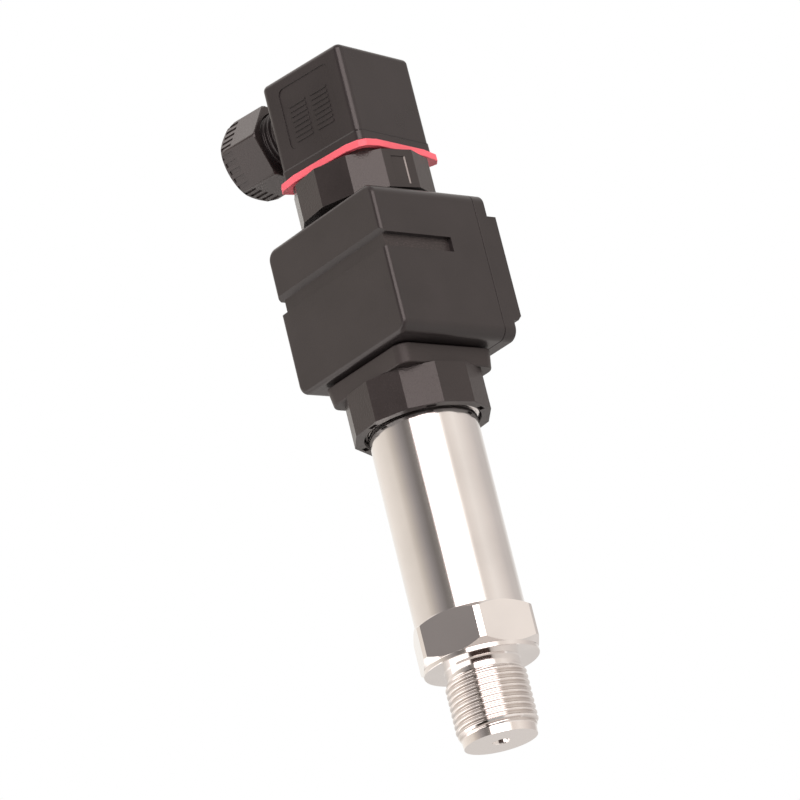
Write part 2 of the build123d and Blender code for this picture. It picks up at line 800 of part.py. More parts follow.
# Display board on the bosses, notched at the top for the ring nut
lock_nut_bottom = box_top - box_wall - lock_nut_height
board_notch_depth = box_middle + display_board_height / 2 - lock_nut_bottom + running_gap
with BuildPart() as display_board:
    with BuildSketch(Plane.XZ.offset(-board_back)):
        with Locations((0, box_middle)):
            Rectangle(display_board_width, display_board_height)
            with GridLocations(2 * boss_x, 2 * boss_z, 2, 2):
                Circle(screw_shank_radius + slip, mode=Mode.SUBTRACT)
        with Locations((0, box_middle + display_board_height / 2)):
            Rectangle(board_notch_width, 2 * board_notch_depth, mode=Mode.SUBTRACT)
    extrude(amount=board_thickness)
display_board.part.label = "display_board"
export_step(display_board.part, "parts/display_board.step")

# Screws of the display board
with BuildPart() as board_screws:
    with BuildSketch(Plane.XZ.offset(-display_board_front)):
        with Locations((0, box_middle)):
            with GridLocations(2 * boss_x, 2 * boss_z, 2, 2):
                Circle(screw_head_radius)
    extrude(amount=screw_head_height)
    with BuildSketch(Plane.XZ.offset(-display_board_front)):
        with Locations((0, box_middle)):
            with GridLocations(2 * boss_x, 2 * boss_z, 2, 2):
                Circle(screw_shank_radius)
    extrude(amount=-screw_shank_length)
board_screws.part.label = "board_screws"
export_step(board_screws.part, "parts/board_screws.step")

# Four-figure display module behind the window
with BuildPart() as digit_module:
    with BuildSketch(Plane.XZ.offset(-display_board_front)):
        with Locations((0, window_middle)):
            Rectangle(digit_module_width, digit_module_height)
    extrude(amount=digit_module_depth)
digit_module.part.label = "digit_module"
export_step(digit_module.part, "parts/digit_module.step")

# Key switches on the front of the board
with BuildPart() as key_switches:
    with BuildSketch(Plane.XZ.offset(-display_board_front)):
        with Locations((0, key_level)):
            with GridLocations(key_spacing, 0, 3, 1):
                Rectangle(key_switch_size, key_switch_size)
    extrude(amount=key_switch_depth)
    with BuildSketch(Plane.XZ.offset(-switch_top)):
        with Locations((0, key_level)):
            with GridLocations(key_spacing, 0, 3, 1):
                Circle(key_plunger_radius)
    extrude(amount=key_plunger_height)
key_switches.part.label = "key_switches"
export_step(key_switches.part, "parts/key_switches.step")

# Processor and wire header on the back of the display board
with BuildPart() as display_processor:
    with BuildSketch(Plane.XZ.offset(-board_back)):
        with Locations((0, box_middle)):
            Rectangle(processor_size, processor_size)
        with Locations((0, box_middle - processor_size)):
            Rectangle(2 * processor_size, processor_size / 2)
    extrude(amount=-processor_thickness)
display_processor.part.label = "display_processor"
export_step(display_processor.part, "parts/display_processor.step")

# Upper plug base: neck through the roof of the box, twelve-sided body, sunk rectangle in one facet and platform
mark_direction = base_turn + 360 / base_sides * 5.5
with BuildPart() as upper_plug_base:
    with BuildSketch(Plane.XY.offset(neck_bottom)):
        Circle(neck_radius)
    extrude(amount=upper_base_bottom - neck_bottom)
    with BuildSketch(Plane.XY.offset(upper_base_bottom)):
        RegularPolygon(base_apothem, base_sides, major_radius=False, rotation=base_turn)
    extrude(amount=upper_base_height)
    with BuildSketch(connector_plane.offset(upper_base_top)):
        RectangleRounded(2 * platform_half_width, 2 * platform_half_width, seal_corner_radius)
    extrude(amount=platform_height)
    with BuildSketch(Plane.XY.offset(upper_base_bottom + (upper_base_height - mark_height) / 2)):
        with PolarLocations(base_apothem, 1, start_angle=mark_direction):
            Rectangle(2 * mark_depth, mark_width)
    extrude(amount=mark_height, mode=Mode.SUBTRACT)
    with BuildSketch(Plane.XY.offset(neck_bottom)):
        Circle(neck_radius - base_roof)
    extrude(amount=upper_base_top - base_roof - neck_bottom, mode=Mode.SUBTRACT)
    with BuildSketch(connector_plane.offset(upper_base_top - base_roof)):
        with PolarLocations(blade_ring_radius, blade_count):
            Rectangle(blade_thickness, blade_width)
    extrude(amount=base_roof + platform_height, mode=Mode.SUBTRACT)
    with BuildSketch(Plane.XY.offset(upper_base_top - base_roof)):
        Circle(screw_channel_radius)
    extrude(amount=base_roof + platform_height, mode=Mode.SUBTRACT)
upper_plug_base.part.label = "upper_plug_base"
export_step(upper_plug_base.part, "parts/upper_plug_base.step")

# Ring nut that clamps the upper plug base to the roof of the box
roof_underside = box_top - box_wall
with BuildPart() as base_lock_nut:
    with BuildSketch(Plane.XY.offset(roof_underside - lock_nut_height)):
        Circle(lock_nut_radius)
        Circle(neck_radius + slip, mode=Mode.SUBTRACT)
        with PolarLocations(lock_nut_radius, lock_nut_notches):
            Rectangle(ring_slot_depth, ring_slot_width, mode=Mode.SUBTRACT)
    extrude(amount=lock_nut_height)
base_lock_nut.part.label = "base_lock_nut"
export_step(base_lock_nut.part, "parts/base_lock_nut.step")

# Contact blades of the upper plug base
upper_blade_bottom = upper_base_top - base_roof - blade_tail
with BuildPart() as upper_contact_blades:
    with BuildSketch(connector_plane.offset(upper_blade_bottom)):
        with PolarLocations(blade_ring_radius, blade_count):
            Rectangle(blade_thickness, blade_width)
    extrude(amount=blade_tail + base_roof + platform_height + blade_reach)
    chamfer(upper_contact_blades.edges().group_by(Axis.Z)[-1], blade_tip_chamfer)
upper_contact_blades.part.label = "upper_contact_blades"
export_step(upper_contact_blades.part, "parts/upper_contact_blades.step")

# Leads through the display box, from the socket contacts to the upper blades
lead_start = socket_top + contact_tail_length
with BuildPart() as display_leads:
    with BuildSketch(Plane.XY.offset(lead_start)):
        with PolarLocations(blade_ring_radius, blade_count):
            Rectangle(lead_width, lead_width)
    extrude(amount=upper_blade_bottom - lead_start)
display_leads.part.label = "display_leads"
export_step(display_leads.part, "parts/display_leads.step")

# Coloured gasket under the connector, with cut corners
block_hole_half_width = terminal_block_half_width + slip
with BuildPart() as connector_gasket:
    with BuildSketch(connector_plane.offset(platform_top)):
        Rectangle(2 * gasket_half_width, 2 * gasket_half_width)
    extrude(amount=gasket_thickness)
    chamfer(connector_gasket.edges().filter_by(Axis.Z), gasket_corner_cut)
    with BuildSketch(connector_plane.offset(platform_top)):
        RectangleRounded(2 * block_hole_half_width, 2 * block_hole_half_width, socket_corner_radius)
    extrude(amount=gasket_thickness, mode=Mode.SUBTRACT)
connector_gasket.part.label = "connector_gasket"
export_step(connector_gasket.part, "parts/connector_gasket.step")

# Terminal block in the connector, slotted for the blades, with the tower of the fixing screw
block_top = platform_top + gasket_thickness + terminal_block_height
roof_inside = connector_top - connector_roof
counterbore_floor = connector_top - counterbore_depth
cup_bottom = counterbore_floor - counterbore_wall
with BuildPart() as terminal_block:
    with BuildSketch(connector_plane.offset(platform_top)):
        RectangleRounded(
            2 * terminal_block_half_width, 2 * terminal_block_half_width, socket_corner_radius
        )
    extrude(amount=block_top - platform_top)
    with BuildSketch(connector_plane.offset(platform_top)):
        with PolarLocations(blade_ring_radius, blade_count):
            Rectangle(socket_slot_width, socket_slot_length)
    extrude(amount=block_top - platform_top, mode=Mode.SUBTRACT)
    with BuildSketch(connector_plane.offset(block_top)):
        Circle(tower_radius)
    extrude(amount=cup_bottom - slip - block_top)
    with BuildSketch(connector_plane.offset(platform_top)):
        Circle(screw_channel_radius)
    extrude(amount=cup_bottom - platform_top, mode=Mode.SUBTRACT)
terminal_block.part.label = "terminal_block"
export_step(terminal_block.part, "parts/terminal_block.step")

# Terminals: spring clips on the upper blades, each with a clamp block for one wire
upper_clip_bottom = platform_top + blade_reach / 3
clamp_top = block_top + clamp_height
with BuildPart() as wire_terminals:
    with BuildSketch(connector_plane.offset(upper_clip_bottom)):
        with PolarLocations(blade_ring_radius, blade_count):
            Rectangle(clip_opening + 2 * leaf_thickness, blade_width - slip)
    extrude(amount=block_top - upper_clip_bottom)
    with BuildSketch(connector_plane.offset(block_top)):
        with PolarLocations(blade_ring_radius, blade_count):
            Rectangle(clamp_depth, clamp_width)
    extrude(amount=clamp_height)
    with BuildSketch(connector_plane.offset(upper_clip_bottom)):
        with PolarLocations(blade_ring_radius, blade_count):
            Rectangle(clip_opening, blade_width)
    extrude(amount=block_top - upper_clip_bottom, mode=Mode.SUBTRACT)
    for wire_direction in (entry_direction, side_direction):
        wire_centre = Vector(0, 0, block_top + clamp_height / 4 + slip)
        with BuildSketch(Plane(origin=wire_centre, z_dir=wire_direction)):
            Circle(wire_hole_radius)
        extrude(amount=blade_ring_radius + clamp_depth, both=True, mode=Mode.SUBTRACT)
wire_terminals.part.label = "wire_terminals"
export_step(wire_terminals.part, "parts/wire_terminals.step")

# Heads of the clamp screws of the terminals
with BuildPart() as terminal_screws:
    with BuildSketch(connector_plane.offset(clamp_top)):
        with PolarLocations(blade_ring_radius, blade_count):
            Circle(clamp_screw_head_radius)
    extrude(amount=clamp_screw_head_height)
    with BuildSketch(connector_plane.offset(clamp_top + clamp_screw_head_height)):
        with PolarLocations(blade_ring_radius, blade_count):
            Rectangle(fixing_slot_width, 2 * clamp_screw_head_radius)
    extrude(amount=-clamp_screw_head_height / 2, mode=Mode.SUBTRACT)
terminal_screws.part.label = "terminal_screws"
export_step(terminal_screws.part, "parts/terminal_screws.step")

# Connector housing: square shell with skirt, side panel, cable stub and the cup of the screw head
panel_plane = Plane(
    origin=side_direction * connector_half_width + Vector(0, 0, connector_top - panel_below_top),
    x_dir=entry_direction * -1,
    z_dir=side_direction,
)
rib_area_middle = -panel_blank_height / 2
with BuildPart() as connector_housing:
    with BuildSketch(connector_plane.offset(connector_bottom)):
        RectangleRounded(2 * connector_half_width, 2 * connector_half_width, connector_corner_radius)
    extrude(amount=connector_height)
    fillet(connector_housing.faces().sort_by(Axis.Z)[-1].edges(), connector_top_radius)
    with BuildSketch(connector_plane.offset(connector_bottom)):
        RectangleRounded(
            2 * (connector_half_width + skirt_step),
            2 * (connector_half_width + skirt_step),
            connector_corner_radius,
        )
    extrude(amount=skirt_height)
    with BuildSketch(gland_plane):
        Circle(stub_radius)
    extrude(amount=stub_end)
    with BuildSketch(connector_plane.offset(connector_bottom)):
        RectangleRounded(
            2 * (connector_half_width - connector_wall),
            2 * (connector_half_width - connector_wall),
            connector_corner_radius,
        )
    extrude(amount=roof_inside - connector_bottom, mode=Mode.SUBTRACT)
    with BuildSketch(gland_plane):
        Circle(stub_bore_radius)
    extrude(amount=grommet_start, mode=Mode.SUBTRACT)
    with BuildSketch(gland_plane.offset(grommet_start)):
        Circle(grommet_radius + slip)
    extrude(amount=stub_end - grommet_start, mode=Mode.SUBTRACT)
    with BuildSketch(connector_plane.offset(cup_bottom)):
        Circle(counterbore_radius + counterbore_wall)
    extrude(amount=roof_inside - cup_bottom)
    with BuildSketch(connector_plane.offset(cup_bottom)):
        Circle(screw_channel_radius)
    extrude(amount=connector_top - cup_bottom, mode=Mode.SUBTRACT)
    with BuildSketch(connector_plane.offset(connector_top)):
        Circle(counterbore_radius)
    extrude(amount=-counterbore_depth, mode=Mode.SUBTRACT)
    with BuildSketch(panel_plane):
        with Locations((panel_offset, 0)):
            RectangleRounded(panel_width, panel_height, connector_corner_radius)
        with Locations((panel_offset, rib_area_middle)):
            with GridLocations(panel_rib_column_spacing, panel_rib_spacing, 2, panel_rib_count):
                Rectangle(panel_rib_length, panel_rib_width, mode=Mode.SUBTRACT)
    extrude(amount=-panel_depth, mode=Mode.SUBTRACT)
connector_housing.part.label = "connector_housing"
export_step(connector_housing.part, "parts/connector_housing.step")

# Seal ring under the head of the fixing screw
with BuildPart() as screw_seal:
    with BuildSketch(Plane.XY.offset(counterbore_floor)):
        Circle(fixing_head_radius - slip)
        Circle(fixing_screw_radius + slip, mode=Mode.SUBTRACT)
    extrude(amount=screw_seal_thickness)
screw_seal.part.label = "screw_seal"
export_step(screw_seal.part, "parts/screw_seal.step")

# Long fixing screw with a slotted head
head_bottom = counterbore_floor + screw_seal_thickness
screw_end = base_ceiling - fixing_thread_engagement + base_roof
with BuildPart() as fixing_screw:
    with BuildSketch(Plane.XY.offset(screw_end)):
        Circle(fixing_screw_radius)
    extrude(amount=head_bottom - screw_end)
    with BuildSketch(Plane.XY.offset(head_bottom)):
        Circle(fixing_head_radius)
    extrude(amount=fixing_head_height)
    with BuildSketch(connector_plane.offset(head_bottom + fixing_head_height)):
        Rectangle(2 * fixing_head_radius, fixing_slot_width)
    extrude(amount=-fixing_slot_depth, mode=Mode.SUBTRACT)
fixing_screw.part.label = "fixing_screw"
export_step(fixing_screw.part, "parts/fixing_screw.step")

# Rubber grommet in the cable stub
with BuildPart() as gland_grommet:
    with BuildSketch(gland_section):
        with BuildLine():
            Polyline(
                (grommet_start, grommet_bore_radius),
                (grommet_start, grommet_radius - grommet_shoulder / 2),
                (grommet_start + grommet_shoulder, grommet_radius),
                (stub_end - grommet_cone, grommet_radius),
                (stub_end, grommet_radius - grommet_shoulder),
                (stub_end, grommet_bore_radius),
                close=True,
            )
        make_face()
    revolve(axis=gland_axis)
gland_grommet.part.label = "gland_grommet"
export_step(gland_grommet.part, "parts/gland_grommet.step")

# Thrust washer between the nut and the grommet
washer_start = stub_end + running_gap
with BuildPart() as gland_washer:
    with BuildSketch(gland_plane.offset(washer_start)):
        Circle(washer_radius)
        Circle(washer_bore_radius, mode=Mode.SUBTRACT)
    extrude(amount=washer_thickness)
gland_washer.part.label = "gland_washer"
export_step(gland_washer.part, "parts/gland_washer.step")

# Gland nut: hexagon with a domed end, gripping ribs round the end, bore and thread recess
nut_end = nut_start + nut_length
nut_corner_radius = nut_across_flats / 2 / 0.866
nut_recess_end = washer_start + washer_thickness + running_gap
dome_start = nut_end - nut_dome_length
with BuildPart() as gland_nut:
    with BuildSketch(gland_plane.offset(nut_start)):
        RegularPolygon(
            nut_across_flats / 2, 6, major_radius=False, rotation=nut_corner_angle
        )
    extrude(amount=nut_length)
    with BuildSketch(gland_section):
        with BuildLine():
            Polyline(
                (nut_start, 0),
                (nut_start, nut_corner_radius - nut_face_chamfer),
                (nut_start + nut_face_chamfer, nut_corner_radius),
                (dome_start, nut_corner_radius),
                (nut_end - nut_edge_length, nut_shoulder_radius),
                (nut_end, nut_end_radius),
                (nut_end, 0),
                close=True,
            )
        make_face()
    revolve(axis=gland_axis, mode=Mode.INTERSECT)
    for flat in range(6):
        flat_angle = nut_corner_angle + 30 + 60 * flat
        with BuildSketch(gland_plane.offset(nut_end - rib_end_gap - rib_length)):
            for rib in range(ribs_per_flat):
                shift = (rib - (ribs_per_flat - 1) / 2) * rib_spacing
                with PolarLocations(0, 1, start_angle=flat_angle):
                    with Locations((nut_across_flats / 2, shift)):
                        Rectangle(2 * rib_depth, rib_width)
        extrude(amount=rib_length, mode=Mode.SUBTRACT)
    with BuildSketch(gland_plane.offset(nut_start)):
        Circle(stub_radius + running_gap)
    extrude(amount=nut_recess_end - nut_start, mode=Mode.SUBTRACT)
    with BuildSketch(gland_plane.offset(nut_start)):
        Circle(nut_bore_radius)
    extrude(amount=nut_length, mode=Mode.SUBTRACT)
gland_nut.part.label = "gland_nut"
export_step(gland_nut.part, "parts/gland_nut.step")
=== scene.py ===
"""Pressure transmitter with a plug-on display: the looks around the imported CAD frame."""
import json
import math

import bmesh
import bpy
from mathutils import Matrix, Vector


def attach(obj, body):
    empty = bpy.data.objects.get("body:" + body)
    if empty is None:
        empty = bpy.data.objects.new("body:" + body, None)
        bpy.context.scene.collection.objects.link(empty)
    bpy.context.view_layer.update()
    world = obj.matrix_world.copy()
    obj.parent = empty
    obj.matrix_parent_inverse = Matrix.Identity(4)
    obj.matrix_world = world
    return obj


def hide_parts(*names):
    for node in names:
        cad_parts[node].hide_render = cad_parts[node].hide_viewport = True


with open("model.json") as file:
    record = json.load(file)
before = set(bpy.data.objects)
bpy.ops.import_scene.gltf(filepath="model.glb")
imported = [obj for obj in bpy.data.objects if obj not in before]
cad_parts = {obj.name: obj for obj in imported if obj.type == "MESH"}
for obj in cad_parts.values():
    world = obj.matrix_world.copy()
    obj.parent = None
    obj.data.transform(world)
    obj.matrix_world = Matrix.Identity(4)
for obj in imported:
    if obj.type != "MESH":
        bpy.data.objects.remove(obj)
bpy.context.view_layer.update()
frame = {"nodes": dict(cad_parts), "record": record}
NODES = frame["nodes"]
MM = 0.001

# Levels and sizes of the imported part, in millimetres from the fitting's end face and the transmitter's axis
PITCH = 1.5

# Process fitting and tube
PORT_RADIUS = 2.0
THREAD_START = 1.9
THREAD_END = 16.4
THREAD_ROOT = 9.25
THREAD_CREST = 10.0
LEAD_RADIUS = 9.1
SEAL_FACE = 19.2
COLLAR_RADIUS = 14.15
HEX_BASE = 20.4
HEX_TOP = 30.8
HEX_CORNER = 15.75
HEX_FLAT = 14.0
HEX_TURN = 22.7
CELL_BORE = 9.6
TUBE_BORE = 12.5
TUBE_RADIUS = 13.5
TUBE_THREAD_START = 81.0
TUBE_TOP = 88.0

# Plug bases
LOWER_BASE_RIM = 80.4
RIM_RECESS_TURN = 28
UPPER_BASE_EDGE = 138.1
UPPER_BASE_TOP = 147.6
FACET_DROP = 0.8

# Display housing and its figures
CAD_JOINT = -16.6
BOX_JOINT = -14.9
LID_JOINT = -15.1
GROOVE_LEVELS = (118.4, 122.4)
GROOVE_FLOOR = (-19.7, -19.3)
WINDOW_MIDDLE = 118.25
FIGURE_FACE = -17.95
FIGURE_SPACING = 6.8

# Connector and cable gland
CONNECTOR_EDGE = 150.4
SKIRT_HEIGHT = 2.4
STUB_FACE = 13.57
STUB_START = 13.4
STUB_END = 27.0
STUB_BORE = 6.35
STUB_ROOT = 7.5
STUB_CREST = 8.3
GLAND_LEVEL = 167.0
GRIP_FLOOR = 9.3

# Directions: the gland's, the sunk mark's and the one that the photograph is taken from
UP = Vector((0, 0, 1))
CONNECTOR_TURN = math.radians(8.16)
ENTRY = Vector((math.cos(CONNECTOR_TURN), math.sin(CONNECTOR_TURN), 0))
MARK_DIRECTION = math.radians(173.0)
TOWARD_CAMERA = (-0.683, 0.669, -0.292)


# Shader helpers
def material(name, colour, rough, metallic=0.0):
    mat = bpy.data.materials.new(name)
    mat.use_nodes = True
    shader = mat.node_tree.nodes["Principled BSDF"]
    shader.inputs["Base Color"].default_value = (*colour, 1.0)
    shader.inputs["Roughness"].default_value = rough
    shader.inputs["Metallic"].default_value = metallic
    return mat, shader


def node(mat, kind, links=(), **values):
    """adds a node, sets its values by attribute or socket name, and links (output, socket) pairs into it"""
    made = mat.node_tree.nodes.new(kind)
    for key, value in values.items():
        if hasattr(made, key):
            setattr(made, key, value)
        else:
            made.inputs[key.replace("_", " ")].default_value = value
    for output, socket in links:
        mat.node_tree.links.new(output, made.inputs[socket])
    return made


def object_pattern(mat, scale, detail=3.0, stretch=(1, 1, 1)):
    """noise on the piece's own coordinates, stretched along an axis where the grain runs"""
    place = node(mat, "ShaderNodeTexCoord")
    stretched = node(mat, "ShaderNodeMapping", [(place.outputs["Object"], "Vector")])
    stretched.inputs["Scale"].default_value = stretch
    return node(mat, "ShaderNodeTexNoise", [(stretched.outputs[0], "Vector")], Scale=scale, Detail=detail)


def ramp(mat, source, stops):
    made = node(mat, "ShaderNodeValToRGB", [(source, "Fac")])
    for i, (place, colour) in enumerate(stops):
        element = made.color_ramp.elements[i] if i < 2 else made.color_ramp.elements.new(place)
        element.position = place
        element.color = (*colour, 1.0)
    return made


def spread(mat, source, low, high):
    """a noise value spread over a range, for a roughness socket"""
    return node(mat, "ShaderNodeMapRange", [(source, "Value")], From_Min=0.3, From_Max=0.7, To_Min=low, To_Max=high)


def bumped(mat, shader, height, strength, distance):
    bump = node(mat, "ShaderNodeBump", [(height, "Height")], Strength=strength, Distance=distance)
    mat.node_tree.links.new(bump.outputs["Normal"], shader.inputs["Normal"])


def shade_colour(mat, shader, source, dark, light):
    tint = ramp(mat, source, [(0.3, dark), (0.7, light)])
    mat.node_tree.links.new(tint.outputs["Color"], shader.inputs["Base Color"])


# Finishes
def steel_finish(name, colour, rough, stretch, grain=0.04):
    mat, shader = material(name, colour, rough, metallic=1.0)
    lines = object_pattern(mat, 400.0, 4.0, stretch)
    clouds = object_pattern(mat, 60.0, 3.0)
    lighter = tuple(min(1.0, c * 1.05) for c in colour)
    darker = tuple(c * 0.95 for c in colour)
    shade_colour(mat, shader, clouds.outputs["Fac"], darker, lighter)
    roughness = spread(mat, lines.outputs["Fac"], rough * 0.8, rough * 1.25)
    mat.node_tree.links.new(roughness.outputs["Result"], shader.inputs["Roughness"])
    bumped(mat, shader, lines.outputs["Fac"], grain, 0.0001)
    return mat


def thread_steel_with_painted_root_shade(name, colour, rough, root, crest):
    """turned steel with painted shade in the roots of a thread, darker by the distance from the fitting's axis"""
    mat, shader = material(name, colour, rough, metallic=1.0)
    place = node(mat, "ShaderNodeTexCoord")
    flat = node(mat, "ShaderNodeVectorMath", [(place.outputs["Object"], 0)], operation="MULTIPLY")
    flat.inputs[1].default_value = (1, 1, 0)
    reach = node(mat, "ShaderNodeVectorMath", [(flat.outputs[0], 0)], operation="LENGTH")
    depth = node(
        mat, "ShaderNodeMapRange", [(reach.outputs["Value"], "Value")], From_Min=root * MM, From_Max=crest * MM)
    # painted shade: the colour darkens towards the roots of the thread
    painted_root_shade = tuple(c * k for c, k in zip(colour, (0.74, 0.72, 0.705)))
    tint = ramp(mat, depth.outputs["Result"], [(0.0, colour), (0.1, painted_root_shade), (0.8, colour)])
    mat.node_tree.links.new(tint.outputs["Color"], shader.inputs["Base Color"])
    return mat


def scuffed_finish(name, colour):
    """moulded plastic with pale scratches along the groove"""
    mat, shader = material(name, colour, 0.4)
    scratches = object_pattern(mat, 1500.0, 6.0, (1.0, 1.0, 3.0))
    tint = ramp(mat, scratches.outputs["Fac"], [(0.48, colour), (0.78, tuple(c * 2.2 for c in colour))])
    mat.node_tree.links.new(tint.outputs["Color"], shader.inputs["Base Color"])
    bumped(mat, shader, scratches.outputs["Fac"], 0.5, 0.0002)
    return mat


def plastic_finish(name, colour, rough, grain_size=2600.0, grain=0.12):
    mat, shader = material(name, colour, rough)
    grit = object_pattern(mat, grain_size, 2.0)
    clouds = object_pattern(mat, 90.0, 4.0)
    darker = tuple(c * 0.90 for c in colour)
    lighter = tuple(c * 1.12 for c in colour)
    shade_colour(mat, shader, clouds.outputs["Fac"], darker, lighter)
    roughness = spread(mat, clouds.outputs["Fac"], rough * 0.92, rough * 1.08)
    mat.node_tree.links.new(roughness.outputs["Result"], shader.inputs["Roughness"])
    bumped(mat, shader, grit.outputs["Fac"], grain, 0.0001)
    return mat


turned_steel = steel_finish("turned_steel", (0.92, 0.905, 0.895), 0.10, (0.2, 0.2, 6.0))
# the fitting's thread has painted shade in its roots
thread_steel = thread_steel_with_painted_root_shade("rolled_thread_steel", (0.93, 0.905, 0.89), 0.11, THREAD_ROOT - 0.1, THREAD_CREST)
tube_steel = steel_finish("drawn_tube_steel", (0.88, 0.872, 0.866), 0.12, (3.0, 3.0, 0.06))
bright_steel = steel_finish("plated_screw_steel", (0.75, 0.75, 0.76), 0.25, (1, 1, 1))
tinned_brass = steel_finish("tinned_brass", (0.78, 0.74, 0.62), 0.3, (1, 1, 1))
shell_plastic = plastic_finish("charcoal_shell_plastic", (0.029, 0.0250, 0.0260), 0.31, 2600.0, 0.25)
base_plastic = plastic_finish("grained_base_plastic", (0.030, 0.0245, 0.0248), 0.33, 2400.0, 0.9)
upper_base_plastic = plastic_finish("upper_base_plastic", (0.034, 0.029, 0.029), 0.24, 2400.0, 0.65)
# a pale colour that stands in for the highlight on the sunk mark's sloping side
painted_highlight_plastic = plastic_finish("painted_highlight_plastic", (0.34, 0.32, 0.31), 0.5, 2400.0, 0.3)
scuffed_plastic = scuffed_finish("scuffed_groove_plastic", (0.036, 0.030, 0.030))
connector_plastic = plastic_finish("connector_plastic", (0.0265, 0.0225, 0.0238), 0.29, 2800.0, 0.28)
gland_plastic = plastic_finish("gland_plastic", (0.035, 0.0285, 0.0285), 0.29, 2800.0, 0.45)
insert_plastic = plastic_finish("insert_plastic", (0.05, 0.05, 0.05), 0.5)
natural_plastic = plastic_finish("natural_plastic", (0.72, 0.69, 0.62), 0.5)
black_rubber = plastic_finish("black_rubber", (0.033, 0.027, 0.027), 0.42, 2600.0, 0.2)
coral_rubber = plastic_finish("coral_rubber", (1.0, 0.155, 0.205), 0.42, 1100.0, 0.2)
lacquered_board = plastic_finish("lacquered_board", (0.03, 0.16, 0.08), 0.3)
dark_body = plastic_finish("moulded_component_body", (0.02, 0.02, 0.022), 0.45)
film = plastic_finish("polyimide_film", (0.5, 0.24, 0.05), 0.3)
lead_sleeve = plastic_finish("lead_sleeve", (0.04, 0.07, 0.3), 0.4)
key_plastic = plastic_finish("key_plastic", (0.07, 0.07, 0.07), 0.4)
figure_bars = plastic_finish("figure_bars", (0.55, 0.20, 0.17), 0.4)


def glass_finish():
    mat, shader = material("smoked_red_pane", (0.10, 0.006, 0.008), 0.06)
    shader.inputs["Transmission Weight"].default_value = 0.75
    shader.inputs["IOR"].default_value = 1.49
    faint = object_pattern(mat, 40.0, 2.0)
    bumped(mat, shader, faint.outputs["Fac"], 0.02, 0.0001)
    return mat


pane = glass_finish()

FINISH_OF_SLOT = {
    "steel": turned_steel, "tube_steel": tube_steel, "cell_steel": turned_steel, "screw_steel": bright_steel,
    "contact_brass": tinned_brass, "seal_rubber": black_rubber, "flange_rubber": black_rubber,
    "gasket_rubber": coral_rubber, "black_plastic": base_plastic, "box_plastic": shell_plastic,
    "lid_plastic": shell_plastic, "connector_plastic": connector_plastic, "gland_plastic": gland_plastic,
    "insert_plastic": insert_plastic, "light_plastic": natural_plastic, "key_plastic": key_plastic,
    "window_pane": pane, "display_body": dark_body, "board": lacquered_board, "component_body": dark_body,
    "flex_print": film, "lead_sleeve": lead_sleeve,
}
SLOT_OF_NODE = {row["node"]: row["material_slot"] for row in frame["record"]["subparts"]}
BODY_OF_NODE = {n: body for body, names in frame["record"]["behaviour"]["bodies"].items() for n in names}
for name, cad in NODES.items():
    cad.data.materials.clear()
    cad.data.materials.append(FINISH_OF_SLOT[SLOT_OF_NODE[name]])


# Mesh helpers
def finished_piece(name, bm, stands_for, finish=None, smooth_angle=25.0, millimetres=True, instead=True):
    """turns a bmesh into a piece that replaces a CAD node and rides with that node's body"""
    if millimetres:
        bmesh.ops.scale(bm, vec=(MM, MM, MM), verts=bm.verts)
    mesh = bpy.data.meshes.new(name)
    bm.to_mesh(mesh)
    bm.free()
    piece = bpy.data.objects.new(name, mesh)
    bpy.context.scene.collection.objects.link(piece)
    mesh.materials.append(finish or FINISH_OF_SLOT[SLOT_OF_NODE[stands_for]])
    mesh.shade_smooth()
    mesh.set_sharp_from_angle(angle=math.radians(smooth_angle))
    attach(piece, BODY_OF_NODE[stands_for])
    if instead:
        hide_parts(stands_for)
    return piece


def closed(bm):
    bmesh.ops.remove_doubles(bm, verts=bm.verts, dist=0.0005)
    bmesh.ops.recalc_face_normals(bm, faces=bm.faces)


def turned(bm, points, steps=128):
    """spins a closed profile of (radius, height) points round the transmitter's axis"""
    verts = [bm.verts.new((r, 0, h)) for r, h in points]
    edges = [bm.edges.new(p) for p in zip(verts, verts[1:] + verts[:1])]
    bmesh.ops.spin(
        bm, geom=verts + edges, cent=(0, 0, 0), axis=UP, angle=2 * math.pi, steps=steps, use_merge=True)


def evenly_shaded(piece):
    """lets the large faces set the shading, so that flat faces look flat beside rounded edges"""
    even = piece.modifiers.new("even_shading", "WEIGHTED_NORMAL")
    even.keep_sharp = True


def soften(piece, width, angle=25.0):
    edge = piece.modifiers.new("edge", "BEVEL")
    edge.width = width * MM
    edge.segments = 2
    edge.limit_method = "ANGLE"
    edge.angle_limit = math.radians(angle)
    edge.harden_normals = True
    edge.use_clamp_overlap = True
    evenly_shaded(piece)


def cad_shape(name):
    """a CAD node's shape with its vertices merged and its flat faces joined"""
    bm = bmesh.new()
    bm.from_mesh(NODES[name].data)
    bmesh.ops.remove_doubles(bm, verts=bm.verts, dist=0.000002)
    bmesh.ops.dissolve_limit(bm, angle_limit=math.radians(0.5), verts=bm.verts, edges=bm.edges)
    return bm


def softened_copy(name, width):
    """a CAD node's shape with its sharp edges rounded a little"""
    soften(finished_piece(f"{name}_moulded", cad_shape(name), name, millimetres=False), width)


# Threads: a helical skin, cut square at both ends and drawn in to a bore
def thread_helix(bm, root, crest, pitch, start, turns, axis, across, centre, steps):
    depth = crest - root
    shape = ((0.0, 0.08), (0.1, 0.17), (0.46, 0.25), (0.8, 0.32), (0.95, 0.37), (1.0, 0.42))
    rising = [(root + depth * share, h) for share, h in shape]
    profile = rising + [(r, 1.0 - h) for r, h in reversed(rising)] + [(root, 1.08)]
    verts = [bm.verts.new(centre + across * r + axis * (start + h * pitch)) for r, h in profile]
    edges = [bm.edges.new(p) for p in zip(verts, verts[1:])]
    rise = axis * (pitch / steps)
    bmesh.ops.spin(
        bm, geom=verts + edges, cent=centre, axis=axis, dvec=rise, angle=2 * math.pi * turns, steps=steps * turns)


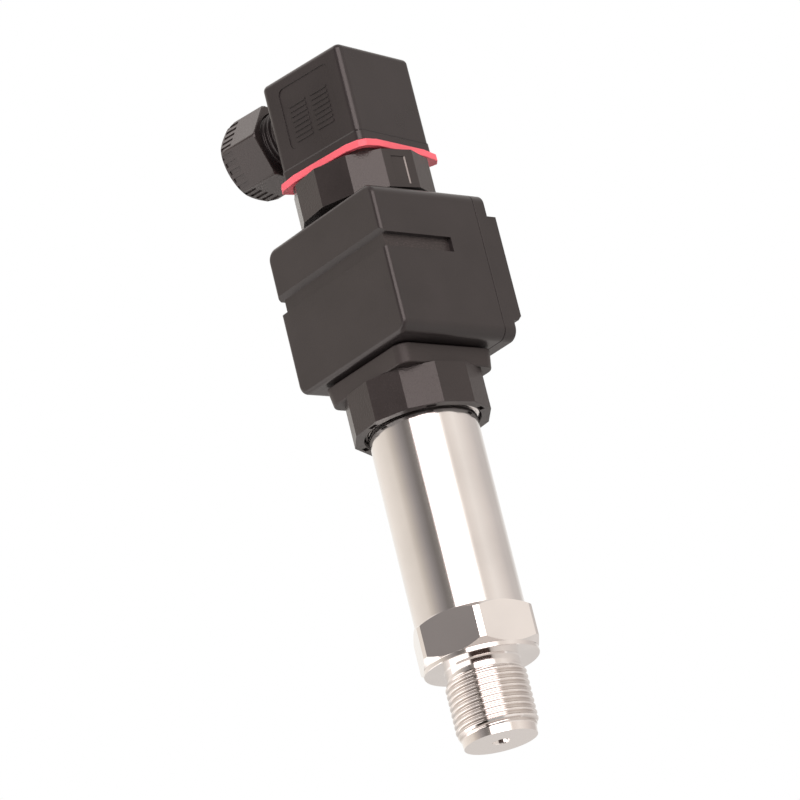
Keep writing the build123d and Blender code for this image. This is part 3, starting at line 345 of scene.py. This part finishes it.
def sliced(bm, place, direction):
    """cuts off what lies beyond a plane and returns the edges of the cut"""
    geometry = bm.verts[:] + bm.edges[:] + bm.faces[:]
    result = bmesh.ops.bisect_plane(
        bm, geom=geometry, dist=0.00001, plane_co=place, plane_no=direction, clear_outer=True)
    return [e for e in result["geom_cut"] if isinstance(e, bmesh.types.BMEdge)]


def cut(bm, place, direction):
    bmesh.ops.contextual_create(bm, geom=sliced(bm, place, direction))


def drawn_in(bm, rim, places, axis, centre):
    """extrudes a round rim through (radius, height) places and returns its last ring"""
    for radius, height in places:
        result = bmesh.ops.extrude_edge_only(bm, edges=rim)
        verts = [v for v in result["geom"] if isinstance(v, bmesh.types.BMVert)]
        for v in verts:
            out = v.co - centre
            out -= axis * out.dot(axis)
            v.co = centre + axis * height + out.normalized() * radius
        fresh = set(verts)
        rim = [e for e in result["geom"] if isinstance(e, bmesh.types.BMEdge) and fresh.issuperset(e.verts)]
    return rim


def threaded_sleeve(root, crest, pitch, start, end, low_end, high_end, axis=UP, centre=Vector((0, 0, 0)),
                    across=Vector((1, 0, 0)), steps=96, limit=None):
    """a closed sleeve with an outer thread; low_end and high_end give the (radius, height) places of its two rims"""
    bm = bmesh.new()
    turns = int((end - start) / pitch) + 4
    thread_helix(bm, root, crest, pitch, start - 2 * pitch, turns, axis, across, centre, steps)
    bmesh.ops.remove_doubles(bm, verts=bm.verts, dist=0.01)
    low = sliced(bm, centre + axis * start, -axis)
    high = sliced(bm, centre + axis * end, axis)
    if limit:
        for v in bm.verts:
            reach = math.hypot(v.co.x, v.co.y)
            if reach > limit(v.co.z):
                v.co.x *= limit(v.co.z) / reach
                v.co.y *= limit(v.co.z) / reach
    low = drawn_in(bm, low, low_end, axis, centre)
    high = drawn_in(bm, high, high_end, axis, centre)
    bmesh.ops.bridge_loops(bm, edges=low + high)
    bmesh.ops.recalc_face_normals(bm, faces=bm.faces)
    return bm


# Process fitting
def fitting_limit(z):
    """the lead cone at the mouth and the run-out at the neck cut the crests down"""
    lead = 9.12 + max(0.0, z - THREAD_START) * 0.52
    run_out = max(THREAD_CREST - (z - 15.5), 9.08)
    return min(lead, run_out)


def process_fitting():
    mouth = (
        (LEAD_RADIUS, THREAD_START), (8.95, 0.0), (PORT_RADIUS + 0.2, 0.0), (PORT_RADIUS, 0.25), (PORT_RADIUS, 8.0))
    bm = threaded_sleeve(THREAD_ROOT, THREAD_CREST, PITCH, THREAD_START, THREAD_END, mouth,
                         ((PORT_RADIUS, THREAD_END),), limit=fitting_limit)
    finished_piece("fitting_thread", bm, "process_fitting", thread_steel, smooth_angle=40)

    bm = bmesh.new()
    turned(bm, (
        (PORT_RADIUS, 21.5), (PORT_RADIUS, 16.3), (8.9, 16.3), (LEAD_RADIUS, 16.6), (LEAD_RADIUS, 18.9),
        (9.4, SEAL_FACE), (14.0, SEAL_FACE), (COLLAR_RADIUS, SEAL_FACE + 0.15), (COLLAR_RADIUS, HEX_BASE - 0.12),
        (14.0, HEX_BASE - 0.08), (14.0, HEX_BASE), (CELL_BORE, HEX_BASE), (CELL_BORE, 21.5)))
    closed(bm)
    finished_piece("fitting_neck_and_collar", bm, "process_fitting")

    bm = bmesh.new()
    turned(bm, (
        (CELL_BORE, HEX_BASE), (COLLAR_RADIUS, HEX_BASE), (HEX_CORNER, HEX_BASE + 1.3), (HEX_CORNER, HEX_TOP - 1.3),
        (14.0, HEX_TOP), (12.4, HEX_TOP), (12.4, 38.0), (10.8, 38.0), (10.8, 34.9), (CELL_BORE, 34.9)),
        steps=180)
    closed(bm)
    for k in range(6):
        direction = Vector((1, 0, 0))
        direction.rotate(Matrix.Rotation(math.radians(HEX_TURN + 30 + 60 * k), 3, "Z"))
        cut(bm, direction * HEX_FLAT, direction)
    closed(bm)
    soften(finished_piece("fitting_hexagon", bm, "process_fitting"), 0.12)


process_fitting()


# Tube
def tube():
    bm = bmesh.new()
    turned(bm, (
        (TUBE_BORE, HEX_TOP), (TUBE_RADIUS - 0.15, HEX_TOP), (TUBE_RADIUS, HEX_TOP + 0.15),
        (TUBE_RADIUS, TUBE_THREAD_START - 0.2), (13.2, TUBE_THREAD_START), (13.2, TUBE_TOP), (TUBE_BORE, TUBE_TOP)),
        steps=192)
    closed(bm)
    finished_piece("tube_shell", bm, "housing_tube")
    end = TUBE_TOP - 0.1
    bm = threaded_sleeve(13.4, 14.2, PITCH, TUBE_THREAD_START, end, ((13.1, TUBE_THREAD_START),), ((13.1, end),),
                         steps=120)
    finished_piece("tube_thread", bm, "housing_tube", turned_steel, smooth_angle=40)


tube()

# Moulded and turned pieces that keep their solid's shape
for name, width in (
        ("flange_seal", 0.9), ("setting_key_left", 0.2), ("setting_key_middle", 0.2), ("setting_key_right", 0.2),
        ("fixing_screw", 0.15), ("gland_grommet", 0.2), ("gland_washer", 0.2), ("display_window", 0.15)):
    softened_copy(name, width)


# Display housing: the joint of box and lid shows as a fine gap, and the groove's floor is scuffed
def display_housing():
    for name, joint in (("display_box", BOX_JOINT), ("display_lid", LID_JOINT)):
        bm = cad_shape(name)
        for v in bm.verts:
            if abs(v.co.y / MM - CAD_JOINT) < 0.01:
                v.co.y = joint * MM
        piece = finished_piece(f"{name}_moulded", bm, name, millimetres=False)
        soften(piece, 0.4)
        piece.data.materials.append(scuffed_plastic)
        for face in piece.data.polygons:
            x, z = face.center.x / MM, face.center.z / MM
            on_floor = GROOVE_LEVELS[0] < z < GROOVE_LEVELS[1] and GROOVE_FLOOR[0] < x < GROOVE_FLOOR[1]
            if on_floor and face.normal.x < -0.9:
                face.material_index = 1


display_housing()


# Plug bases: the sunk mark of the upper one has a sloping side with a painted highlight, the lower one's rim recesses
# are wide
def upper_base():
    bm = cad_shape("upper_plug_base")
    outward = Vector((math.cos(MARK_DIRECTION), math.sin(MARK_DIRECTION), 0))
    along = UP.cross(outward)
    for v in bm.verts:
        if v.co.z < (UPPER_BASE_EDGE + 0.1) * MM and math.hypot(v.co.x, v.co.y) > 14 * MM:
            v.co.z -= FACET_DROP * MM
    for v in bm.verts:
        on_facet = 16.4 < v.co.dot(outward) / MM < 16.72 and abs(v.co.dot(along)) < 2.2 * MM
        if on_facet and (UPPER_BASE_EDGE + 0.2) * MM < v.co.z < (UPPER_BASE_TOP - 0.5) * MM:
            v.co.z -= FACET_DROP * MM
    for face in bm.faces:
        middle = face.calc_center_median()
        if face.normal.dot(outward) > 0.99 and 16.3 < middle.dot(outward) / MM < 16.6:
            for v in face.verts:
                if (v.co - middle).dot(along) > 0:
                    v.co -= along * 0.28 * MM
    bmesh.ops.recalc_face_normals(bm, faces=bm.faces)
    piece = finished_piece("upper_base_moulded", bm, "upper_plug_base", upper_base_plastic, millimetres=False)
    # the sunk mark's sloping side is coloured pale as a painted highlight
    piece.data.materials.append(painted_highlight_plastic)
    for face in piece.data.polygons:
        slope = face.normal.dot(outward)
        if 0.3 < slope < 0.95 and face.normal.dot(along) < -0.3 and 16.3 < face.center.dot(outward) / MM < 16.68:
            if abs(face.center.dot(along)) < 2.2 * MM:
                face.material_index = 1
    soften(piece, 0.15, 58)


def lower_base():
    bm = cad_shape("lower_plug_base")
    for k in range(6):
        turn = math.radians(RIM_RECESS_TURN + 60 * k)
        outward = Vector((math.cos(turn), math.sin(turn), 0))
        along = UP.cross(outward)
        for v in bm.verts:
            out, side = v.co.dot(outward) / MM, v.co.dot(along) / MM
            if v.co.z < (LOWER_BASE_RIM + 1.0) * MM and 14.8 < out < 16.3 and abs(side) < 1.2:
                v.co += along * side * 0.35 * MM + outward * (out - 15.4) * 0.5 * MM
    soften(finished_piece("lower_base_moulded", bm, "lower_plug_base", millimetres=False), 0.15, 50)


upper_base()
lower_base()


# Gland nut: its grips are shallow and its six corners rounded
def gland_nut():
    bm = cad_shape("gland_nut")
    middle = Vector((0, 0, GLAND_LEVEL * MM))
    for face in bm.faces:
        reach = (face.calc_center_median() - middle).dot(face.normal) / MM
        if abs(reach - GRIP_FLOOR) < 0.03 and abs(face.normal.dot(ENTRY)) < 0.01:
            for v in face.verts:
                v.co += face.normal * 0.1 * MM
    long_edges = [e for e in bm.edges if e.calc_length() > 7 * MM]
    corners = [e for e in long_edges if min((v.co - middle).cross(ENTRY).length for v in e.verts) > 10.5 * MM]
    bmesh.ops.bevel(bm, geom=corners, offset=0.5 * MM, segments=3, profile=0.5, affect="EDGES", material=-1)
    evenly_shaded(finished_piece("gland_nut_moulded", bm, "gland_nut", millimetres=False))


gland_nut()

# Connector: the moulded shell with its plain stub cut off, and a threaded stub in its place
def connector():
    bm = cad_shape("connector_housing")
    rim = sliced(bm, ENTRY * STUB_FACE * MM, ENTRY)
    bmesh.ops.bridge_loops(bm, edges=rim)
    for step, inward in ((-0.15, 0.0), (0.0, 0.012), (0.15, 0.0)):
        level = CONNECTOR_EDGE + SKIRT_HEIGHT + step
        geometry = bm.verts[:] + bm.edges[:] + bm.faces[:]
        bmesh.ops.bisect_plane(bm, geom=geometry, dist=0.00001, plane_co=(0, 0, level * MM), plane_no=UP)
        for v in bm.verts:
            reach = max(abs(v.co.dot(ENTRY)), abs(v.co.dot(UP.cross(ENTRY))))
            if abs(v.co.z - level * MM) < 0.00002 and reach > 13.2 * MM:
                v.co.x -= v.co.x * inward
                v.co.y -= v.co.y * inward
    soften(finished_piece("connector_shell", bm, "connector_housing", millimetres=False), 0.1)
    middle = Vector((0, 0, GLAND_LEVEL))
    bm = threaded_sleeve(STUB_ROOT, STUB_CREST, PITCH, STUB_START, STUB_END, ((STUB_BORE, STUB_START),),
                         ((STUB_BORE, STUB_END),), axis=ENTRY, centre=middle, across=UP)
    finished_piece("stub_thread", bm, "connector_housing", smooth_angle=40)


connector()


# Gasket: its corners hang a little where nothing bears them
def gasket():
    bm = cad_shape("connector_gasket")
    bmesh.ops.triangulate(bm, faces=bm.faces)
    bmesh.ops.subdivide_edges(bm, edges=bm.edges, cuts=5, use_grid_fill=True)
    for v in bm.verts:
        reach = math.hypot(v.co.x, v.co.y) / MM
        v.co.z -= 0.22 * MM * max(0.0, reach - 17.6) ** 1.5
    soften(finished_piece("gasket_moulded", bm, "connector_gasket", millimetres=False), 0.3, 40)


gasket()


# Display: four figures of seven bars each, with a point after each
def bar(bm, x, z, width, height):
    made = bmesh.ops.create_cube(bm, size=1.0)
    bmesh.ops.scale(bm, vec=(width, 0.1, height), verts=made["verts"])
    bmesh.ops.translate(bm, vec=(x + (z - WINDOW_MIDDLE) * 0.12, FIGURE_FACE, z), verts=made["verts"])


def figures():
    bm = bmesh.new()
    for digit in range(4):
        x = (digit - 1.5) * FIGURE_SPACING
        for z in (-4.0, 0.0, 4.0):
            bar(bm, x, WINDOW_MIDDLE + z, 3.0, 0.8)
        for side in (-1, 1):
            for z in (-2.0, 2.0):
                bar(bm, x + side * 2.0, WINDOW_MIDDLE + z, 0.8, 3.0)
        bar(bm, x + 3.2, WINDOW_MIDDLE - 4.2, 0.8, 0.8)
    finished_piece("figure_bars", bm, "digit_module", figure_bars, instead=False)


figures()


# Studio: four rings of soft light by bearing, blended by height, and a pale floor
def studio():
    world = bpy.data.worlds.new("studio")
    bpy.context.scene.world = world
    world.use_nodes = True
    tree = world.node_tree
    tree.nodes.clear()

    def add(kind, links=(), **values):
        made = tree.nodes.new(kind)
        for key, value in values.items():
            setattr(made, key, value)
        for output, socket in links:
            tree.links.new(output, made.inputs[socket])
        return made

    direction = add("ShaderNodeTexCoord").outputs["Generated"]
    compass = add("ShaderNodeTexGradient", [(direction, "Vector")], gradient_type="RADIAL")
    halfway = add("ShaderNodeVectorMath", [(direction, 0)], operation="ADD")
    halfway.inputs[1].default_value = TOWARD_CAMERA
    facing = add("ShaderNodeTexGradient", [(halfway.outputs[0], "Vector")], gradient_type="RADIAL")
    height = add("ShaderNodeSeparateXYZ", [(direction, "Vector")])

    def ring(stops, bearing_of=compass):
        made = add("ShaderNodeValToRGB", [(bearing_of.outputs["Fac"], "Fac")])
        places = made.color_ramp.elements
        for i, (bearing, colour) in enumerate(stops):
            place = (bearing / 360.0 + 0.5) % 1.0
            element = places[i] if i < 2 else places.new(place)
            element.position = place
            element.color = (*colour, 1.0)
        return made.outputs["Color"]

    high = ring((
        (-179.9, (0.79, 0.70, 0.64)), (-156, (0.90, 0.82, 0.76)), (-132, (0.76, 0.68, 0.63)),
        (-108, (0.60, 0.54, 0.51)), (-84, (0.58, 0.53, 0.50)), (-60, (0.88, 0.85, 0.82)),
        (-35, (0.95, 0.92, 0.88)), (0, (0.92, 0.84, 0.77)),
        (48, (0.77, 0.69, 0.62)), (60, (0.60, 0.53, 0.47)), (72, (0.44, 0.39, 0.36)), (84, (0.30, 0.27, 0.26)),
        (98, (0.18, 0.16, 0.15)), (112, (0.22, 0.20, 0.18)), (115, (3.6, 3.1, 3.0)), (166, (3.6, 3.1, 3.0)),
        (175, (1.1, 1.02, 0.96)), (179.9, (0.83, 0.75, 0.68))))
    low = ring((
        (-179.9, (0.70, 0.64, 0.60)), (-150, (0.80, 0.73, 0.68)), (-80, (0.70, 0.65, 0.62)),
        (-30, (0.66, 0.62, 0.59)), (0, (0.80, 0.74, 0.69)), (26, (1.1, 1.0, 0.95)),
        (32, (1.9, 1.75, 1.68)), (100, (1.9, 1.75, 1.68)),
        (106, (0.12, 0.09, 0.08)), (112, (0.05, 0.03, 0.025)), (168, (0.05, 0.03, 0.025)), (174, (0.60, 0.54, 0.50))))
    ground = ring((
        (-179.9, (0.66, 0.61, 0.58)), (-120, (0.70, 0.65, 0.61)), (30, (0.75, 0.70, 0.66)), (70, (1.3, 1.2, 1.15)),
        (90, (1.3, 1.2, 1.15)), (95, (2.4, 2.2, 2.1)), (101, (2.4, 2.2, 2.1)), (105, (0.40, 0.35, 0.32)),
        (109, (0.02, 0.015, 0.01)), (124, (0.02, 0.015, 0.01)),
        (126, (0.46, 0.45, 0.44)), (146, (0.46, 0.45, 0.44)), (150, (0.92, 0.86, 0.82))), facing)
    top = ring((
        (-179.9, (0.80, 0.74, 0.70)), (-60, (0.95, 0.90, 0.86)), (-20, (1.35, 1.25, 1.2)), (10, (1.5, 1.4, 1.34)),
        (45, (1.2, 1.1, 1.05)), (84, (0.5, 0.45, 0.42)), (112, (0.40, 0.35, 0.33)), (168, (0.45, 0.40, 0.37)),
        (176, (0.80, 0.74, 0.70))))

    def rise(bottom, top):
        made = add("ShaderNodeMapRange", [(height.outputs["Z"], "Value")])
        made.inputs["From Min"].default_value = bottom
        made.inputs["From Max"].default_value = top
        return made.outputs["Result"]

    def blended(factor, below, above):
        made = add("ShaderNodeMix", [(factor, "Factor"), (below, 6), (above, 7)], data_type="RGBA")
        return made.outputs[2]

    under = blended(rise(-0.52, -0.38), ground, low)
    sides = blended(rise(-0.10, 0.08), under, high)
    whole = blended(rise(0.56, 0.68), sides, top)
    lit = add("ShaderNodeBackground", [(whole, "Color")])
    white = add("ShaderNodeBackground")
    white.inputs["Color"].default_value = (1, 1, 1, 1)
    paths = add("ShaderNodeLightPath")
    mix = add("ShaderNodeMixShader", [(paths.outputs["Is Camera Ray"], "Fac")])
    tree.links.new(lit.outputs[0], mix.inputs[1])
    tree.links.new(white.outputs[0], mix.inputs[2])
    add("ShaderNodeOutputWorld", [(mix.outputs[0], "Surface")])

    bm = bmesh.new()
    bmesh.ops.create_grid(bm, x_segments=4, y_segments=4, size=0.5)
    bmesh.ops.translate(bm, vec=(0, 0, -0.6), verts=bm.verts)
    mesh = bpy.data.meshes.new("pale_floor")
    bm.to_mesh(mesh)
    bm.free()
    floor = bpy.data.objects.new("pale_floor", mesh)
    bpy.context.scene.collection.objects.link(floor)
    mesh.materials.append(plastic_finish("floor_paint", (0.62, 0.59, 0.57), 0.8, 40.0, 0.02))
    bpy.context.scene.view_settings.view_transform = "Standard"


studio()


def camera():
    data = bpy.data.cameras.new("camera")
    data.lens = 202.41
    data.sensor_width = 36.0
    data.clip_end = 20.0
    made = bpy.data.objects.new("camera", data)
    made.location = (-0.7350, 0.7189, -0.2732)
    made.rotation_euler = [math.radians(a) for a in (109.954, 13.1597, -129.4331)]
    bpy.context.scene.collection.objects.link(made)
    bpy.context.scene.camera = made


camera()
